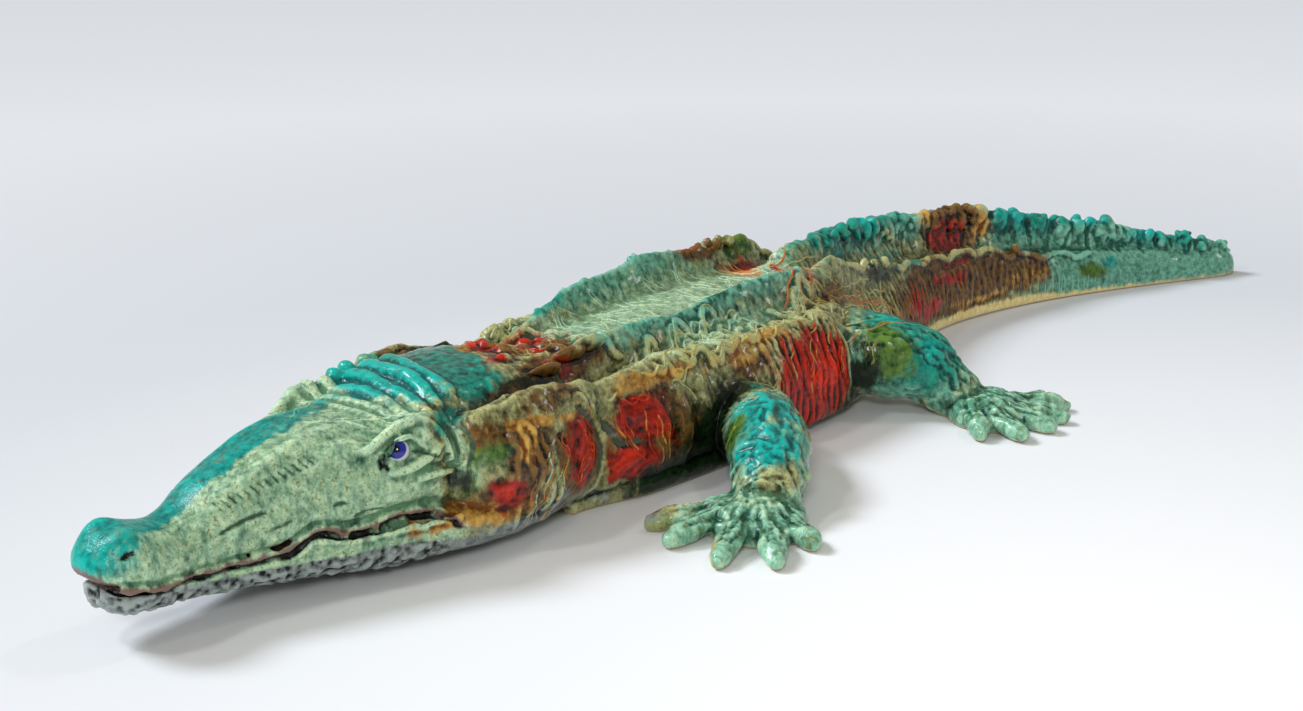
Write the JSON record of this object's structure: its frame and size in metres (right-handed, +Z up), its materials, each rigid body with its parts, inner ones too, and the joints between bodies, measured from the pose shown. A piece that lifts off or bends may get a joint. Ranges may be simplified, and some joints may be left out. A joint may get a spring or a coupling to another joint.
{
  "type": "crocodile sculpture",
  "caption": "Hand-built glazed clay crocodile lying flat, with splayed feet, a ridged back, a pinched tail crest and the tail swept to one side.",
  "frame": {"origin": "middle of the box round the piece, on the table it lies on", "axes": "+Z up, -Y towards the head, +X the animal's left side"},
  "size_m": [0.3746, 0.9979, 0.1031],
  "materials": {
    "glazed_clay": "glossy poured glazes in turquoise, celadon, red, ochre and dark green over rough clay"
  },
  "bodies": {
    "root": {"crocodile": "glazed_clay"}
  },
  "joints": []
}
